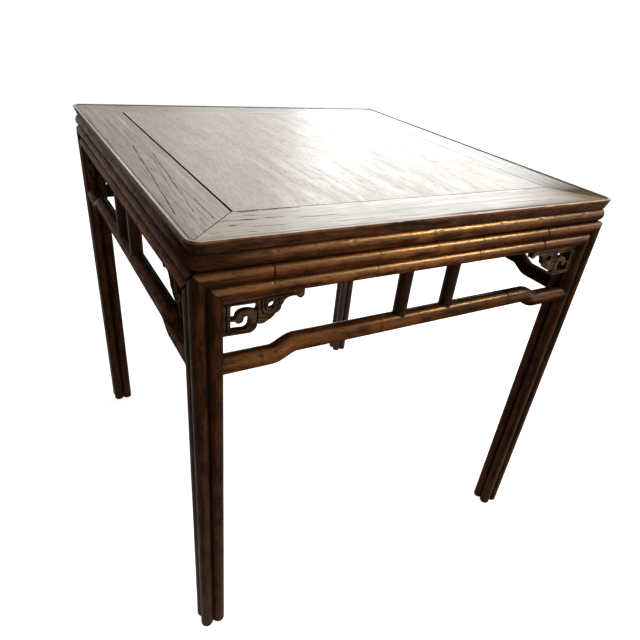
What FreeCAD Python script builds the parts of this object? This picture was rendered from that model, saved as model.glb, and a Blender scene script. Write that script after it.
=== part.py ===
import FreeCAD, Part
import os
from math import asin, cos, sin, sqrt
from FreeCAD import Vector

# A Chinese eight immortals table, joined without metal: a framed top on reeded legs and
# aprons, with humpback stretchers, round struts and openwork spandrels. Millimetres.
# X runs along the front edge, -Y is the front and +Z is up. The origin lies on the
# floor, under the middle of the top.

# Overall size
table_width = 850.0
table_depth = 876.0
table_height = 852.0

# Play between a tenon and its mortise, and how far a cut runs past the wood
clearance = 0.15
overrun = 5.0

# Flats that stand for an arc where it is planed, sawn or carved by hand
rim_flat_count = 2
moulding_flat_count = 8
bar_flat_count = 20
bend_flat_count = 2
carving_flat_count = 3
eye_flat_count = 10

# Top frame: four mitred members round a floating panel
frame_thickness = 19.5
front_member_width = 100.0
back_member_width = 90.0
left_member_width = 95.0
right_member_width = 90.0
corner_radius = 20.0
rim_radius = 2.5
edge_recess = 6.0
bead_width = 6.5
bead_rise = 1.5
corner_tenon_width = 26.0
corner_tenon_thickness = 7.0
corner_tenon_length = 24.0
corner_tenon_setback = 53.0
corner_tenon_depth = 6.0

# Panel: boards with a tongue all round, shrunk away from the left member
board_count = 3
panel_thickness = 10.0
panel_tongue = 7.0
panel_tongue_thickness = 4.0
panel_tongue_depth = 3.5
panel_fit_gap = 0.4
shrinkage_gap = 3.5

# Transverse battens, dovetailed into the underside of the panel
batten_spacing = 320.0
batten_width = 34.0
batten_height = 18.0
dovetail_height = 5.0
dovetail_neck = 22.0
dovetail_head = 28.0
batten_tenon_width = 22.0
batten_tenon_height = 6.0
batten_tenon_length = 20.0

# Edge moulding under the frame, and the bamboo pegs that hold it
moulding_height = 26.0
moulding_inset = 1.0
peg_width = 6.0
peg_setback = 16.0
peg_grip = 10.0
peg_place_shares = (-0.32, 0.0, 0.32)

# Reeds: the aprons and the legs share one reed, so that they meet in a mitre
reed_diameter = 24.4
reed_groove = 8.0
face_inset = 1.0
apron_thickness = 27.0
apron_tenon_height = 18.0
apron_tenon_width = 8.0
apron_tenon_drop = 24.0
apron_tenon_setback = 9.0
apron_tenon_end = 19.0

# Leg head: two stub tenons into the frame, one on each side of the mitre
head_tenon_long = 6.5
head_tenon_short = 5.5
head_tenon_height = 9.0
head_tenon_near = 28.5
head_tenon_far = 39.5

# Humpback stretchers
stretcher_diameter = 32.5
stretcher_end_drop = 203.8
stretcher_rise = 15.5
stretcher_low_run = 99.5
stretcher_bend_length = 42.0
stretcher_scribe = 6.0
stretcher_tenon_length = 22.0
stretcher_tenon_height = 16.0
stretcher_tenon_width = 10.0

# Struts between apron and stretcher
strut_diameter = 24.6
strut_spacing = 104.0
strut_tenon_width = 10.0
strut_tenon_top = 14.0
strut_tenon_foot = 11.0

# Spandrels: openwork boards in the corners between leg and apron
spandrel_length = 128.0
spandrel_drop = 59.7
spandrel_thickness = 12.0
spandrel_scribe = 5.0
spandrel_tongue_height = 3.5
spandrel_tongue_thickness = 5.0
spandrel_tongue_root = 4.0
spandrel_tongue_start = 12.0
spandrel_tongue_end = 88.0
eye_length = 13.0
eye_width = 9.5
eye_tilt = 35.0
eye_place_shares = (0.585, 0.332)
# Outline from the ball at the tail to the foot of the stile, in shares of length and drop.
# One point is the end of a straight run, two are the middle and the end of an arc.
spandrel_outline_shares = (
    ((1.0, 0.141),),
    ((0.96, 0.246), (0.915, 0.179)),
    ((0.85, 0.155), (0.79, 0.179)),
    ((0.752, 0.231), (0.73, 0.322)),
    ((0.705, 0.375),),
    ((0.69, 0.499), (0.633, 0.57)),
    ((0.595, 0.675), (0.54, 0.733)),
    ((0.47, 0.795), (0.41, 0.761)),
    ((0.39, 0.909), (0.32, 1.0)),
)
stile_foot_share = 0.976
# Opening between the stile, the top bar and the back of the scroll
upper_opening_shares = (
    ((0.088, 0.548),),
    ((0.088, 0.194),),
    ((0.365, 0.194),),
    ((0.405, 0.293), (0.365, 0.394)),
    ((0.26, 0.365), (0.17, 0.465)),
    ((0.13, 0.548),),
)
# Opening that winds into the scroll
lower_opening_shares = (
    ((0.088, 0.611),),
    ((0.14, 0.637),),
    ((0.195, 0.699), (0.23, 0.628)),
    ((0.235, 0.542),),
    ((0.268, 0.499), (0.303, 0.57)),
    ((0.303, 0.761),),
    ((0.29, 0.847), (0.25, 0.876)),
    ((0.088, 0.876),),
)

# Heights and places worked out from the sizes above
reed = reed_diameter / 2
leg_width = 2 * reed_diameter
apron_height = 2 * reed_diameter
frame_top = table_height - bead_rise
frame_foot = table_height - frame_thickness
moulding_foot = frame_foot - moulding_height
apron_foot = moulding_foot - apron_height
panel_foot = frame_top - panel_thickness
tongue_top = frame_top - panel_tongue_depth
tongue_foot = tongue_top - panel_tongue_thickness
stretcher_end_z = table_height - stretcher_end_drop
stretcher_mid_z = stretcher_end_z + stretcher_rise
rail_setback = stretcher_diameter / 2
apron_back = face_inset + apron_thickness
inner_face = face_inset + leg_width

# The four sides in order round the table: name, length, distance from the middle, turn
SIDES = (
    ("front", table_width, table_depth / 2, 0),
    ("right", table_depth, table_width / 2, 90),
    ("back", table_width, table_depth / 2, 180),
    ("left", table_depth, table_width / 2, 270),
)
# Names for the two ends of a side, from its left to its right seen from outside
ENDS = {
    "front": ("left", "right"),
    "right": ("front", "back"),
    "back": ("right", "left"),
    "left": ("back", "front"),
}
UP = Vector(0, 0, 1)
ORIGIN = Vector(0, 0, 0)


def block(x0, x1, y0, y1, z0, z1):
    """Rectangular block between two corners."""
    return Part.makeBox(x1 - x0, y1 - y0, z1 - z0, Vector(x0, y0, z0))


def polygon(points):
    """Closed face with straight sides."""
    return Part.Face(Part.makePolygon(points + points[:1]))


def flats(curve, count):
    """Points that cut a curve into equal flats."""
    return curve.toShape().discretize(Number=count + 1)


def face_of(steps):
    """Closed face from steps of points: one ends a straight run, two end an arc."""
    start = steps[0][-1]
    edges = []
    here = start
    for step in steps[1:] + [(start,)]:
        there = step[-1]
        if len(step) == 2:
            edges.append(Part.Arc(here, step[0], there).toShape())
        else:
            edges.append(Part.LineSegment(here, there).toShape())
        here = there
    return Part.Face(Part.Wire(edges))


def flat_face_of(steps, count):
    """The same face with each arc cut into flats."""
    points = [steps[0][-1]]
    for step in steps[1:]:
        if len(step) == 2:
            points += flats(Part.Arc(points[-1], *step), count)[1:]
        else:
            points.append(step[0])
    return polygon(points)


def turned(shape, angle):
    """Copy of a front piece, turned about the middle of the table."""
    copy = shape.copy()
    copy.rotate(ORIGIN, UP, angle)
    return copy


def section_steps(steps, half):
    """Steps in (setback, height) on the plane across the front side."""
    return [tuple(Vector(0, setback - half, height) for setback, height in step) for step in steps]


def edge_cutters(steps, radius, count):
    """Cuts that run an edge profile round the four sides and the rounded corners."""
    cutters = []
    for name, length, half, turn in SIDES:
        profile = flat_face_of(section_steps(steps, half), count)
        run = length - 2 * radius
        profile.translate(Vector(-run / 2, 0, 0))
        straight = profile.extrude(Vector(run, 0, 0))
        profile.translate(Vector(run, 0, 0))
        corner = profile.revolve(Vector(run / 2, radius - half, 0), UP, 90)
        cutters += [turned(straight, turn), turned(corner, turn)]
    return cutters


def rounded_plate(inset, z0, z1):
    """Plate with the plan of the top, drawn in by an inset."""
    x = table_width / 2 - inset
    y = table_depth / 2 - inset
    radius = corner_radius - inset
    plate = block(-x, x, -y, y, z0, z1)
    upright = [e for e in plate.Edges if abs(e.Vertexes[0].Z - e.Vertexes[1].Z) > 0]
    return plate.makeFillet(radius, upright)


def frame_edge_cutters():
    """Softened rim above an edge that slopes in towards the moulding."""
    middle = rim_radius - rim_radius / sqrt(2)
    steps = [
        ((rim_radius, table_height),),
        ((middle, table_height - middle), (0, table_height - rim_radius)),
        ((edge_recess, frame_foot),),
        ((edge_recess, frame_foot - overrun),),
        ((-overrun, frame_foot - overrun),),
        ((-overrun, table_height + overrun),),
        ((rim_radius, table_height + overrun),),
    ]
    return edge_cutters(steps, corner_radius, rim_flat_count)


def moulding_edge_cutters():
    """Half round on the outer face of the moulding."""
    nose = moulding_height / 2
    back = moulding_inset + nose
    steps = [
        ((back, frame_foot),),
        ((moulding_inset, moulding_foot + nose), (back, moulding_foot)),
        ((back, moulding_foot - overrun),),
        ((-overrun, moulding_foot - overrun),),
        ((-overrun, frame_foot + overrun),),
        ((back, frame_foot + overrun),),
    ]
    return edge_cutters(steps, corner_radius, moulding_flat_count)


def panel_block(grow_left, grow_right, grow_front, grow_back, z0, z1):
    """Block with the plan of the panel opening, grown on each side."""
    return block(left_member_width - table_width / 2 - grow_left,
                 table_width / 2 - right_member_width + grow_right,
                 front_member_width - table_depth / 2 - grow_front,
                 table_depth / 2 - back_member_width + grow_back, z0, z1)


def corner_tenons(grow):
    """Tenons on the ends of the left and right members, into the front and back ones."""
    z1 = frame_top - corner_tenon_depth + grow
    z0 = z1 - corner_tenon_thickness - 2 * grow
    x0 = corner_tenon_setback - grow
    x1 = corner_tenon_setback + corner_tenon_width + grow
    blocks = {"left": [], "right": []}
    for member, width, side in (("left", left_member_width, -1), ("right", right_member_width, 1)):
        for end_width, end in ((front_member_width, -1), (back_member_width, 1)):
            root = end_width * x1 / width
            tip = end_width * corner_tenon_setback / width - corner_tenon_length - grow
            xs = sorted((side * (table_width / 2 - x0), side * (table_width / 2 - x1)))
            ys = sorted((end * (table_depth / 2 - root), end * (table_depth / 2 - tip)))
            blocks[member].append(block(*xs, *ys, z0, z1))
    return blocks


def batten_tenons(grow):
    """Tenons on the ends of the battens, into the left and right members."""
    z1 = panel_foot - clearance + grow
    z0 = z1 - batten_tenon_height - 2 * grow
    half = batten_tenon_width / 2 + grow
    reach = batten_tenon_length + grow
    x0 = left_member_width - table_width / 2 - reach
    x1 = table_width / 2 - right_member_width + reach
    return [block(x0, x1, y - half, y + half, z0, z1) for y in batten_places()]


def batten_places():
    """Distance of each batten from the middle of the panel."""
    middle = (front_member_width - back_member_width) / 2
    return (middle - batten_spacing / 2, middle + batten_spacing / 2)


def head_tenons(grow):
    """Stub tenons on the head of a leg whose outer corner stands at the origin."""
    near = (head_tenon_near - grow, head_tenon_near + head_tenon_short + grow)
    far = (head_tenon_far - grow, head_tenon_far + head_tenon_long + grow)
    top = frame_foot + head_tenon_height + grow
    return [block(*near, *far, frame_foot - overrun, top), block(*far, *near, frame_foot - overrun, top)]


def at_corners(shapes):
    """Copies of shapes at the four corners, in the order front left, right, back right, left."""
    x = table_width / 2 - face_inset
    y = table_depth / 2 - face_inset
    corners = ((-x, -y), (x, -y), (x, y), (-x, y))
    copies = []
    for quarter, (corner_x, corner_y) in enumerate(corners):
        group = [turned(shape, 90 * quarter) for shape in shapes]
        for shape in group:
            shape.translate(Vector(corner_x, corner_y, 0))
        copies.append(group)
    return copies


def moulding_pegs(grow):
    """Whittled bamboo pegs through the mouldings into the frame, a group for each side."""
    groups = {}
    side = peg_width / 2 + grow
    top = frame_foot + peg_grip + grow
    for name, length, half, turn in SIDES:
        y = peg_setback - half
        places = [share * length for share in peg_place_shares]
        pegs = [block(x - side, x + side, y - side, y + side, moulding_foot, top) for x in places]
        groups[name] = [turned(peg, turn) for peg in pegs]
    return groups


def frame_members():
    """Four mitred members with rim, bead, panel groove and mortises."""
    x, y = table_width / 2, table_depth / 2
    outer = ((-x, -y), (x, -y), (x, y), (-x, y))
    opening = panel_block(0, 0, 0, 0, frame_foot, table_height).BoundBox
    inner = ((opening.XMin, opening.YMin), (opening.XMax, opening.YMin),
             (opening.XMax, opening.YMax), (opening.XMin, opening.YMax))
    plan = rounded_plate(0, frame_foot, table_height)
    cuts = frame_edge_cutters()
    cuts.append(rounded_plate(bead_width, frame_top, table_height + overrun))
    groove = [panel_tongue + clearance] * len(SIDES)
    cuts.append(panel_block(*groove, tongue_foot - clearance, tongue_top + clearance))
    for group in at_corners(head_tenons(clearance)):
        cuts += group
    cuts += batten_tenons(clearance)
    for pegs in moulding_pegs(clearance).values():
        cuts += pegs
    members = {}
    for index, (name, length, half, turn) in enumerate(SIDES):
        after = (index + 1) % len(SIDES)
        corners = (outer[index], outer[after], inner[after], inner[index])
        plank = polygon([Vector(px, py, frame_foot) for px, py in corners]).extrude(UP * frame_thickness)
        member = plank.common(plan).cut(cuts)
        if name in ("left", "right"):
            member = member.fuse(corner_tenons(0)[name])
        else:
            mortises = corner_tenons(clearance)
            member = member.cut(mortises["left"] + mortises["right"])
        members[name] = member.removeSplitter()
    return members


def batten(y):
    """Transverse batten: a bar under the panel with a dovetail along its top."""
    x0 = left_member_width - table_width / 2 + clearance
    x1 = table_width / 2 - right_member_width - clearance
    side = batten_width / 2
    bar = block(x0, x1, y - side, y + side, panel_foot - batten_height, panel_foot - clearance)
    return bar.fuse([dovetail(y, 0)]).removeSplitter()


def dovetail(y, grow):
    """Dovetail that slides into the underside of the panel."""
    x0 = left_member_width - table_width / 2 + shrinkage_gap - grow
    x1 = table_width / 2 - right_member_width - panel_fit_gap + grow
    neck = dovetail_neck / 2 + grow
    head = dovetail_head / 2 + grow
    root = panel_foot - clearance - grow
    crown = panel_foot + dovetail_height + grow
    corners = ((-neck, root), (neck, root), (head, crown), (-head, crown))
    return polygon([Vector(x0, y + dy, z) for dy, z in corners]).extrude(Vector(x1 - x0, 0, 0))


def panel_boards():
    """Boards of the panel, glued edge to edge, with a tongue on the outer edges."""
    gaps = (-shrinkage_gap, -panel_fit_gap, -panel_fit_gap, -panel_fit_gap)
    body = panel_block(*gaps, panel_foot, frame_top)
    tongue = panel_block(*(panel_tongue + gap for gap in gaps), tongue_foot, tongue_top)
    panel = body.fuse(tongue).cut([dovetail(y, clearance) for y in batten_places()])
    low, high = body.BoundBox.XMin, body.BoundBox.XMax
    step = (high - low) / board_count
    boards = []
    for index in range(board_count):
        x0 = low + index * step - (overrun + panel_tongue if index == 0 else 0)
        x1 = low + (index + 1) * step + (overrun + panel_tongue if index == board_count - 1 else 0)
        strip = block(x0, x1, -table_depth, table_depth, 0, table_height + overrun)
        boards.append(panel.common(strip).removeSplitter())
    return boards


def mouldings():
    """Half-round mouldings in a mitred ring under the frame."""
    x, y = table_width / 2 - apron_back, table_depth / 2 - apron_back
    ring = rounded_plate(0, moulding_foot, frame_foot)
    hollow = block(-x, x, -y, y, moulding_foot - overrun, frame_foot + overrun)
    ring = ring.cut([hollow] + moulding_edge_cutters())
    pegs = moulding_pegs(clearance)
    pieces = {}
    for name, length, half, turn in SIDES:
        end, back = length / 2, apron_back - half
        outline = ((-end, -half), (end, -half), (end - apron_back, back), (apron_back - end, back))
        plan = polygon([Vector(px, py, moulding_foot) for px, py in outline])
        sector = plan.extrude(UP * moulding_height)
        pieces[name] = ring.common(turned(sector, turn)).cut(pegs[name]).removeSplitter()
    return pieces


def apron_profile(half, grow):
    """Two reeds in front of a flat back, in the plane across the front side."""
    top, foot = moulding_foot, apron_foot
    face = face_inset
    radius = reed + grow
    groove = face + reed_groove - grow
    reach = sqrt(radius**2 - (reed - reed_groove + grow)**2)
    steps = [
        ((face + apron_thickness + grow, top),),
        ((face + reed, top),),
        ((face - grow, top - reed), (groove, top - reed - reach)),
        ((groove, foot + reed + reach),),
        ((face - grow, foot + reed), (face + reed, foot - grow)),
        ((face + apron_thickness + grow, foot - grow),),
    ]
    return face_of(section_steps(steps, half))


def apron_bar(length, half, grow):
    """Straight reeded bar, as long as the side."""
    profile = apron_profile(half, grow)
    profile.translate(Vector(-length / 2, 0, 0))
    return profile.extrude(Vector(length, 0, 0))


def apron_tenon(length, half, grow):
    """Tenons on both ends of an apron, from its mitre into the leg."""
    z1 = moulding_foot - apron_tenon_drop + grow
    z0 = z1 - apron_tenon_height - 2 * grow
    y0 = face_inset + apron_tenon_setback - half - grow
    y1 = y0 + apron_tenon_width + 2 * grow
    tip = length / 2 - face_inset - apron_tenon_end + grow
    root = length / 2 - inner_face
    return [block(-tip, -root, y0, y1, z0, z1), block(root, tip, y0, y1, z0, z1)]


def apron(length, half):
    """Reeded apron, mitred to the legs in front and to its neighbours behind."""
    end = length / 2 - face_inset
    front = face_inset - half
    bar = apron_bar(length, half, 0)
    low, back = end - apron_height, end - apron_thickness
    upright = ((-end, moulding_foot), (end, moulding_foot), (low, apron_foot), (-low, apron_foot))
    elevation = polygon([Vector(x, front, z) for x, z in upright])
    level = ((-end, front), (end, front), (back, front + apron_thickness), (-back, front + apron_thickness))
    plan = polygon([Vector(x, y, apron_foot) for x, y in level])
    mitre = elevation.extrude(Vector(0, apron_thickness, 0)).common(plan.extrude(UP * apron_height))
    body = bar.common(mitre)
    body = body.fuse(apron_tenon(length, half, 0))
    cuts = strut_tenons(half, clearance) + spandrel_tongues(length, half, clearance)
    return body.cut(cuts).removeSplitter()


def leg_section(grow):
    """Four round lobes about a square core, with the outer corner at the origin."""
    radius = reed + grow
    groove = reed_groove - grow
    reach = sqrt(radius**2 - (reed - groove)**2)
    diagonal = radius / sqrt(2)
    near, far = reed, leg_width - reed
    steps = [
        ((groove, near + reach),),
        ((near - diagonal, near - diagonal), (near + reach, groove)),
        ((far - reach, groove),),
        ((far + diagonal, near - diagonal), (leg_width - groove, near + reach)),
        ((leg_width - groove, far - reach),),
        ((far + diagonal, far + diagonal), (far - reach, leg_width - groove)),
        ((near + reach, leg_width - groove),),
        ((near - diagonal, far + diagonal), (groove, far - reach)),
    ]
    return face_of([tuple(Vector(p, q, 0) for p, q in step) for step in steps])


def leg():
    """Leg with its outer corner at the origin: mitred for both aprons, tenoned at the head."""
    post = leg_section(0).extrude(UP * frame_foot)
    depth = apron_thickness + clearance
    top = frame_foot + overrun
    far = leg_width + overrun
    wedge = ((-overrun, top), (-overrun, moulding_foot + overrun), (far, moulding_foot - far), (far, top))
    front = polygon([Vector(p, -overrun, z) for p, z in wedge]).extrude(Vector(0, overrun + depth, 0))
    side = polygon([Vector(-overrun, q, z) for q, z in wedge]).extrude(Vector(overrun + depth, 0, 0))
    cuts = [front, side] + leg_mortises()
    return post.cut(cuts).fuse(head_tenons(0)).removeSplitter()


def leg_mortises():
    """Mortises for the two aprons and the two stretchers that meet at a leg."""
    z1 = moulding_foot - apron_tenon_drop + clearance
    z0 = z1 - apron_tenon_height - 2 * clearance
    thin = (apron_tenon_setback - clearance, apron_tenon_setback + apron_tenon_width + clearance)
    deep = (apron_tenon_end - clearance, leg_width + overrun)
    wide, tall = stretcher_tenon_width / 2 + clearance, stretcher_tenon_height / 2 + clearance
    rail = (rail_setback - wide, rail_setback + wide)
    run = (leg_width - stretcher_tenon_length - clearance, leg_width + overrun)
    level = (stretcher_end_z - tall, stretcher_end_z + tall)
    return [block(*deep, *thin, z0, z1), block(*thin, *deep, z0, z1),
            block(*run, *rail, *level), block(*rail, *run, *level)]


def leg_scribes(length, half):
    """Slightly fuller leg shafts at the two ends of a side, for scribing shoulders to them."""
    shaft = leg_section(clearance).extrude(UP * moulding_foot)
    left = shaft.copy()
    left.translate(Vector(face_inset - length / 2, face_inset - half, 0))
    return [left, left.mirror(ORIGIN, Vector(1, 0, 0))]


def s_bend(x0, z0, x1, z1, y):
    """Points of two equal arcs that carry a level rail from one height to another."""
    radius = ((x1 - x0)**2 + (z1 - z0)**2) / (4 * (z1 - z0))
    turn = asin((x1 - x0) / 2 / abs(radius)) / 2
    along, across = abs(radius) * sin(turn), radius * (1 - cos(turn))
    middle = Vector((x0 + x1) / 2, y, (z0 + z1) / 2)
    first = Part.Arc(Vector(x0, y, z0), Vector(x0 + along, y, z0 + across), middle)
    second = Part.Arc(middle, Vector(x1 - along, y, z1 - across), Vector(x1, y, z1))
    return flats(first, bend_flat_count) + flats(second, bend_flat_count)[1:]


def stretcher_bar(length, half, grow):
    """Round bar that steps up near both ends, before its shoulders are cut."""
    y = face_inset + rail_setback - half
    end = length / 2 - inner_face + stretcher_scribe
    low = length / 2 - inner_face - stretcher_low_run + stretcher_bend_length / 2
    high = low - stretcher_bend_length
    z0, z1 = stretcher_end_z, stretcher_mid_z
    path = [Vector(-end, y, z0)] + s_bend(-low, z0, -high, z1, y)
    path += s_bend(high, z1, low, z0, y) + [Vector(end, y, z0)]
    ring = flats(Part.Circle(path[0], Vector(1, 0, 0), stretcher_diameter / 2 + grow), bar_flat_count)
    return Part.makePolygon(path).makePipeShell([Part.makePolygon(ring)], True, False, 1)


def stretcher(length, half):
    """Humpback stretcher with scribed shoulders, end tenons and strut mortises."""
    y = face_inset + rail_setback - half
    tip = length / 2 - inner_face + stretcher_tenon_length
    root = length / 2 - inner_face - overrun
    wide, tall = stretcher_tenon_width / 2, stretcher_tenon_height / 2
    section = (y - wide, y + wide, stretcher_end_z - tall, stretcher_end_z + tall)
    tenons = [block(-tip, -root, *section), block(root, tip, *section)]
    bar = stretcher_bar(length, half, 0).cut(leg_scribes(length, half)).fuse(tenons)
    return bar.cut(strut_tenons(half, clearance)).removeSplitter()


def strut_tenons(half, grow):
    """Square tenons of both struts of a side, from the stretcher up into the apron."""
    y = face_inset + rail_setback - half
    side = strut_tenon_width / 2 + grow
    z0 = stretcher_mid_z + stretcher_diameter / 2 - strut_tenon_foot - grow
    z1 = apron_foot + strut_tenon_top + grow
    return [block(x - side, x + side, y - side, y + side, z0, z1) for x in strut_places()]


def strut_places():
    """Distance of both struts from the middle of their side."""
    return (-strut_spacing / 2, strut_spacing / 2)


def struts(length, half):
    """Round struts, scribed to the apron above and saddled over the stretcher below."""
    y = face_inset + rail_setback - half
    height = apron_foot + overrun - stretcher_mid_z
    cuts = [stretcher_bar(length, half, clearance), apron_bar(length, half, clearance)]
    pieces = []
    for x, tenon in zip(strut_places(), strut_tenons(half, 0)):
        ring = Part.Circle(Vector(x, y, stretcher_mid_z), UP, strut_diameter / 2)
        bar = polygon(flats(ring, bar_flat_count)[1:]).extrude(UP * height)
        pieces.append(bar.cut(cuts).fuse(tenon).removeSplitter())
    return pieces


def spandrel_tongues(length, half, grow):
    """Tongues of both spandrels of a side, in the underside of the apron."""
    y = face_inset + rail_setback - half
    side = spandrel_tongue_thickness / 2 + grow
    z0 = apron_foot - spandrel_tongue_root
    z1 = apron_foot + spandrel_tongue_height + grow
    section = (y - side, y + side, z0, z1)
    outer = length / 2 - inner_face - spandrel_tongue_start + grow
    inner = length / 2 - inner_face - spandrel_tongue_end - grow
    return [block(-outer, -inner, *section), block(inner, outer, *section)]


def spandrel_board(length, half):
    """Openwork board at the left end of a side, a little too large for its seat."""
    x0 = inner_face - length / 2
    y = face_inset + rail_setback - spandrel_thickness / 2 - half

    def place(share):
        return Vector(x0 + share[0] * spandrel_length, y, apron_foot - share[1] * spandrel_drop)

    def steps(table):
        return [tuple(place(share) for share in step) for step in table]

    top = apron_foot + overrun
    foot = apron_foot - stile_foot_share * spandrel_drop
    frame = [(Vector(x0 - spandrel_scribe, y, foot),), (Vector(x0 - spandrel_scribe, y, top),),
             (Vector(x0 + spandrel_length, y, top),)]
    board = flat_face_of(steps(spandrel_outline_shares) + frame, carving_flat_count)
    eye = polygon(flats(Part.Ellipse(ORIGIN, eye_length / 2, eye_width / 2), eye_flat_count)[1:])
    eye.rotate(ORIGIN, UP, eye_tilt)
    eye.rotate(ORIGIN, Vector(1, 0, 0), 90)
    eye.translate(place(eye_place_shares))
    tables = (upper_opening_shares, lower_opening_shares)
    openings = [eye] + [flat_face_of(steps(table), carving_flat_count) for table in tables]
    through = Vector(0, spandrel_thickness, 0)
    return board.extrude(through).cut([opening.extrude(through) for opening in openings])


def spandrels(length, half):
    """Both spandrels of a side, scribed to the leg and the apron and tongued into it."""
    cuts = leg_scribes(length, half) + [apron_bar(length, half, clearance)]
    left = spandrel_board(length, half)
    boards = (left, left.mirror(ORIGIN, Vector(1, 0, 0)))
    return [board.cut(cuts).fuse(tongue).removeSplitter()
            for board, tongue in zip(boards, spandrel_tongues(length, half, 0))]


def table():
    """Every piece of the table by its name."""
    nodes = {}
    for name, member in frame_members().items():
        nodes["frame_" + name] = member
    for name, board in zip(("left", "middle", "right"), panel_boards()):
        nodes["panel_board_" + name] = board
    for name, y, tenon in zip(("front", "back"), batten_places(), batten_tenons(0)):
        nodes["batten_" + name] = batten(y).fuse(tenon).removeSplitter()
    for name, moulding in mouldings().items():
        nodes["moulding_" + name] = moulding
    pegs = [peg for group in moulding_pegs(0).values() for peg in group]
    nodes["moulding_pegs"] = Part.makeCompound(pegs)
    corners = ("front_left", "front_right", "back_right", "back_left")
    for name, (post,) in zip(corners, at_corners([leg()])):
        nodes["leg_" + name] = post
    for name, length, half, turn in SIDES:
        nodes["apron_" + name] = turned(apron(length, half), turn)
        nodes["stretcher_" + name] = turned(stretcher(length, half), turn)
        for end, strut, spandrel in zip(ENDS[name], struts(length, half), spandrels(length, half)):
            nodes["strut_" + name + "_" + end] = turned(strut, turn)
            nodes["spandrel_" + name + "_" + end] = turned(spandrel, turn)
    return nodes


os.makedirs("parts", exist_ok=True)
for node, shape in table().items():
    shape.exportStep("parts/" + node + ".step")
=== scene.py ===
# %% [markdown]
# # A Chinese eight immortals table
# The table is a framed top on four lobed legs. Under the top run a half-round moulding and
# a reeded apron that mitres into the legs, and below them humpback stretchers, short struts
# and openwork spandrels. The solids from the workshop drawing come in first as a fixed
# frame. Every visible stick is then made again with finer curves and hand wear, in the very
# place of its solid.

# %% Load the frame and keep its box
import bpy
import bmesh
import numpy as np
from functools import partial
from math import asin, atan2, cos, exp, hypot, pi, radians, sin, sqrt
from mathutils import Matrix, Vector, noise


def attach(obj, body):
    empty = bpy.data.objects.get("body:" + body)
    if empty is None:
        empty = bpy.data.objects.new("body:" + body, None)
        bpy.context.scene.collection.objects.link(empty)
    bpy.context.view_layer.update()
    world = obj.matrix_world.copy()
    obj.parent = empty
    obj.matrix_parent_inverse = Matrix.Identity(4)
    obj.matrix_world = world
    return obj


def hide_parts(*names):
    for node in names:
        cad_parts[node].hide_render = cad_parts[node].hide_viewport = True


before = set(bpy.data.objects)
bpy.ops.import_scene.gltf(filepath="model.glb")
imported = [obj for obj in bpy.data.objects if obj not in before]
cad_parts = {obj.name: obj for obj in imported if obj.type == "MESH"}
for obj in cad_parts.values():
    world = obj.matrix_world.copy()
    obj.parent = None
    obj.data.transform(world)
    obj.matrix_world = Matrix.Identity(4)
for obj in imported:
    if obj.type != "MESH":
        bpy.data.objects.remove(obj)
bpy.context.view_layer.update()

# %% [markdown]
# ## Sizes
# A joiner works from a rod, a stick with every length marked on it. This cell is the rod.
# Lengths are written in millimetres and turned into metres once, so that they can be
# compared with the drawing at a glance.

# %% The rod
MM = 0.001
WIDTH, DEPTH, HEIGHT = 850 * MM, 876 * MM, 852 * MM
FRAME_TOP, FRAME_FOOT = 850.5 * MM, 832.5 * MM
MOULDING_FOOT, APRON_FOOT = 806.5 * MM, 757.7 * MM
# How far the reeds and legs stand in from the edge of the top.
FACE = 1.0 * MM
# Radius of a reed, depth of the groove between two, and the angle at which they meet there.
REED = 12.2 * MM
GROOVE = 8.0 * MM
DIP = atan2(sqrt(REED ** 2 - (REED - GROOVE) ** 2), REED - GROOVE)
LEG = 4 * REED
APRON_THICK = 27.0 * MM
CORNER = 20.0 * MM
PLAY = 0.12 * MM
# Each side's name, length, distance from the middle of the table and turn from the front.
SIDES = (("front", WIDTH, DEPTH / 2, 0), ("right", DEPTH, WIDTH / 2, 90),
         ("back", WIDTH, DEPTH / 2, 180), ("left", DEPTH, WIDTH / 2, 270))
ENDS = {"front": ("left", "right"), "right": ("front", "back"),
        "back": ("right", "left"), "left": ("back", "front")}
print("reed", REED, "leg", LEG, "apron height", MOULDING_FOOT - APRON_FOOT)

# %% [markdown]
# ## The camera
# The photograph was taken from the front left, a little above the top, with a wide lens.
# The place, turn and lens were found by matching the rim, the feet and the leg outlines.
# Setting the camera first means that every later step can be judged against the picture.

# %% Camera
lens = bpy.data.cameras.new("camera")
lens.lens, lens.sensor_width = 30.580, 36.0
lens.shift_x, lens.shift_y = -0.01546, 0.05479
camera = bpy.data.objects.new("camera", lens)
camera.location = (-0.61202, -1.06052, 1.12057)
camera.rotation_euler = (radians(56.7278), radians(-6.0048), radians(-29.8239))
bpy.context.scene.collection.objects.link(camera)
bpy.context.scene.camera = camera
print("camera at", list(camera.location))

# %% [markdown]
# ## Node helpers
# Materials and bars here are built from many small nodes. A few helpers keep that readable:
# one makes a node and fills its sockets with numbers or links, one names a group's sockets,
# and the others do sums, ranges, mixes and noise in one line each.

# %% Helpers for nodes
def feed(tree, socket, value):
    """Links a socket to another one, or sets it to a plain value."""
    if isinstance(value, bpy.types.NodeSocket):
        tree.links.new(value, socket)
    else:
        socket.default_value = value


def place(tree, kind, inputs=(), **settings):
    """Adds a node, sets its options, then fills its sockets by name or number."""
    made = tree.nodes.new(kind)
    for name, value in settings.items():
        setattr(made, name, value)
    for key, value in dict(inputs).items():
        feed(tree, made.inputs[key], value)
    return made


def sums(tree, operation, first, second=0.0):
    """One step of arithmetic."""
    return place(tree, "ShaderNodeMath", {0: first, 1: second}, operation=operation).outputs[0]


def arithmetic(tree):
    """Adding, taking away and multiplying in one tree."""
    return [partial(sums, tree, kind) for kind in ("ADD", "SUBTRACT", "MULTIPLY")]


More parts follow.
